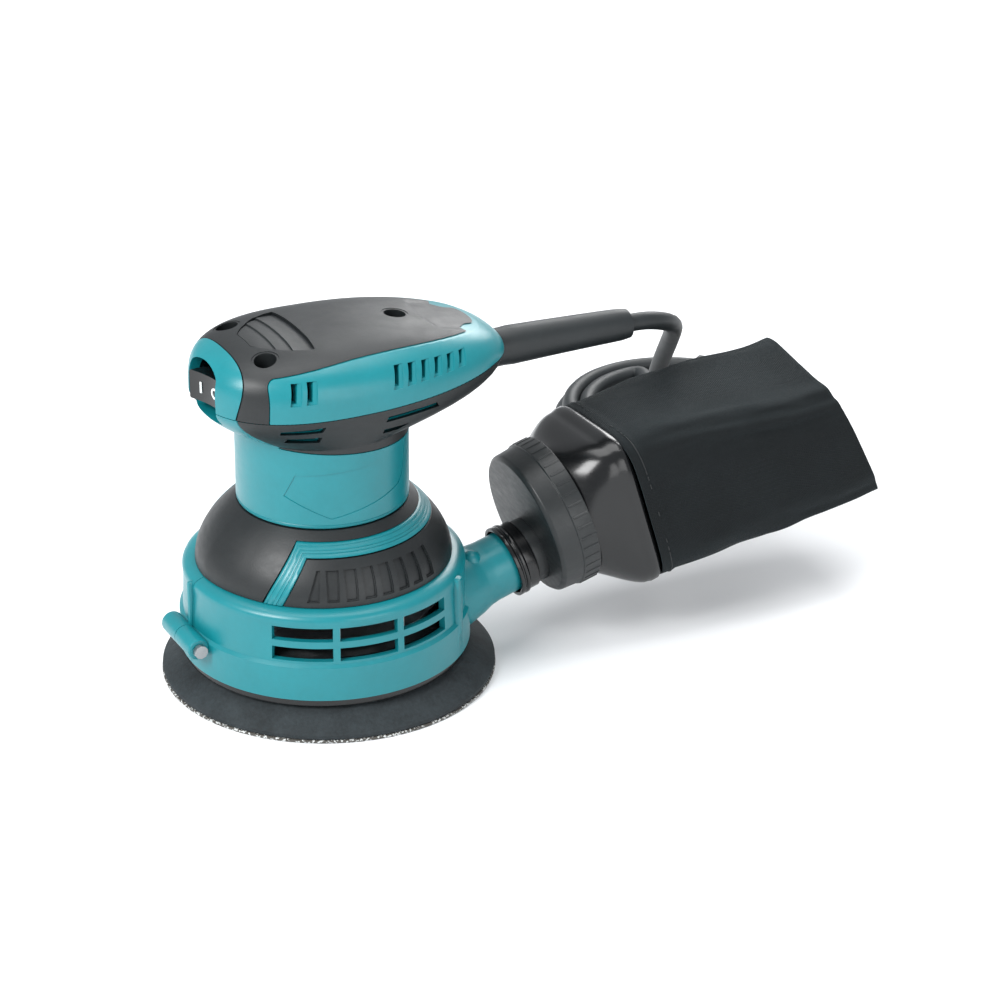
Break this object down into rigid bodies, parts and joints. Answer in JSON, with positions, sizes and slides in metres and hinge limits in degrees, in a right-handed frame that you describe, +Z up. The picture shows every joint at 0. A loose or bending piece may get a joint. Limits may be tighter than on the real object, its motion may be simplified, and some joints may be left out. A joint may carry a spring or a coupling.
{
  "type": "random orbital sander",
  "caption": "Palm-grip random orbital sander with a round pad, a side spout, a cloth dust bag on a swivelling frame, a rocker switch and a mains cord wound in a coil.",
  "frame": {"origin": "on the motor axis, at the lower face of the abrasive disc", "axes": "+Z up along the motor axis, +X along the handle towards the cord, the rocker switch at the -X end, and the dust bag's spout on the -Y half"},
  "size_m": [0.3236, 0.224, 0.1385],
  "materials": {
    "teal_plastic": "satin moulded plastic",
    "soft_grip": "soft overmoulded elastomer",
    "black_plastic": "glossy moulded plastic",
    "dark_plastic": "matt moulded plastic",
    "black_rubber": "matt rubber",
    "pad_rubber": "dense foam rubber",
    "abrasive": "coated abrasive on hook and loop backing",
    "bag_cloth": "woven cloth",
    "steel": "machined steel",
    "laminations": "stacked steel sheet",
    "cast_alloy": "cast light alloy",
    "copper": "enamelled copper",
    "brass": "pressed brass",
    "carbon": "pressed carbon"
  },
  "bodies": {
    "casing": {"stator_core": "laminations", "field_winding_front": "copper", "field_winding_rear": "copper", "lower_bearing": "steel", "upper_bearing": "steel", "bearing_plate": "cast_alloy", "fan_baffle": "dark_plastic", "bearing_bridge": "dark_plastic", "brush_holder_near": "brass", "brush_spring_near": "steel", "brush_holder_far": "brass", "brush_spring_far": "steel", "skirt_near": "teal_plastic", "skirt_far": "teal_plastic", "skirt_screw_front": "steel", "skirt_screw_rear": "steel", "brake_ring": "black_rubber", "vent_cover": "soft_grip", "arch_band": "teal_plastic", "dome_grip": "soft_grip", "top_grip": "soft_grip", "top_cover": "teal_plastic", "cover_screw_front_near": "steel", "cover_screw_front_far": "steel", "cover_screw_rear": "steel", "collar_grip": "soft_grip", "motor_casing": "teal_plastic", "switch_body": "dark_plastic", "cord_guard": "black_rubber", "cord_clamp": "dark_plastic", "clamp_screw_1": "steel", "clamp_screw_2": "steel", "inner_lead": "black_rubber", "cord_tube": "black_rubber", "cord_coil": "black_rubber", "plug": "black_plastic", "plug_pin_1": "brass", "plug_pin_2": "brass"},
    "armature": {"armature_shaft": "steel", "rotor_core": "laminations", "rotor_winding_lower": "copper", "rotor_winding_upper": "copper", "commutator": "copper", "cooling_fan": "cast_alloy", "dust_fan": "dark_plastic", "balance_weight": "steel", "pad_bearing": "steel"},
    "pad": {"abrasive_disc": "abrasive", "backing_pad": "pad_rubber", "pad_plate": "dark_plastic", "pad_spindle": "steel", "pad_screw": "steel"},
    "rocker": {"switch_rocker": "black_plastic"},
    "cuff": {"bag_cuff": "black_plastic"},
    "bag": {"bag_inlet": "dark_plastic", "bag_frame": "black_plastic", "dust_bag": "bag_cloth"},
    "brush_near": {"carbon_brush_near": "carbon"},
    "brush_far": {"carbon_brush_far": "carbon"}
  },
  "joints": [
    {"name": "armature_spin", "type": "hinge", "parent": "casing", "child": "armature", "pos_m": [0, 0, 0.07], "axis": [0, 0, 1], "continuous": true},
    {"name": "pad_spin", "type": "hinge", "parent": "armature", "child": "pad", "pos_m": [0.0014, 0, 0.01], "axis": [0, 0, 1], "continuous": true},
    {"name": "switch_rock", "type": "hinge", "parent": "casing", "child": "rocker", "pos_m": [-0.039, 0, 0.1215], "axis": [0, 0, 1], "range_deg": [-30, 0]},
    {"name": "bag_pull", "type": "slide", "parent": "casing", "child": "cuff", "axis": [0.9636, 0, 0.2672], "range_m": [0, 0.02]},
    {"name": "bag_swivel", "type": "hinge", "parent": "cuff", "child": "bag", "pos_m": [0.0515, -0.014, 0.0282], "axis": [0.9636, 0, 0.2672], "range_deg": [-40, 40]},
    {"name": "brush_near_wear", "type": "slide", "parent": "casing", "child": "brush_near", "axis": [0, -1, 0], "range_m": [0, 0.002], "stiffness_N_per_m": 150, "springref_m": -0.004, "deforming": ["brush_spring_near"]},
    {"name": "brush_far_wear", "type": "slide", "parent": "casing", "child": "brush_far", "axis": [0, 1, 0], "range_m": [0, 0.002], "stiffness_N_per_m": 150, "springref_m": -0.004, "deforming": ["brush_spring_far"]}
  ]
}
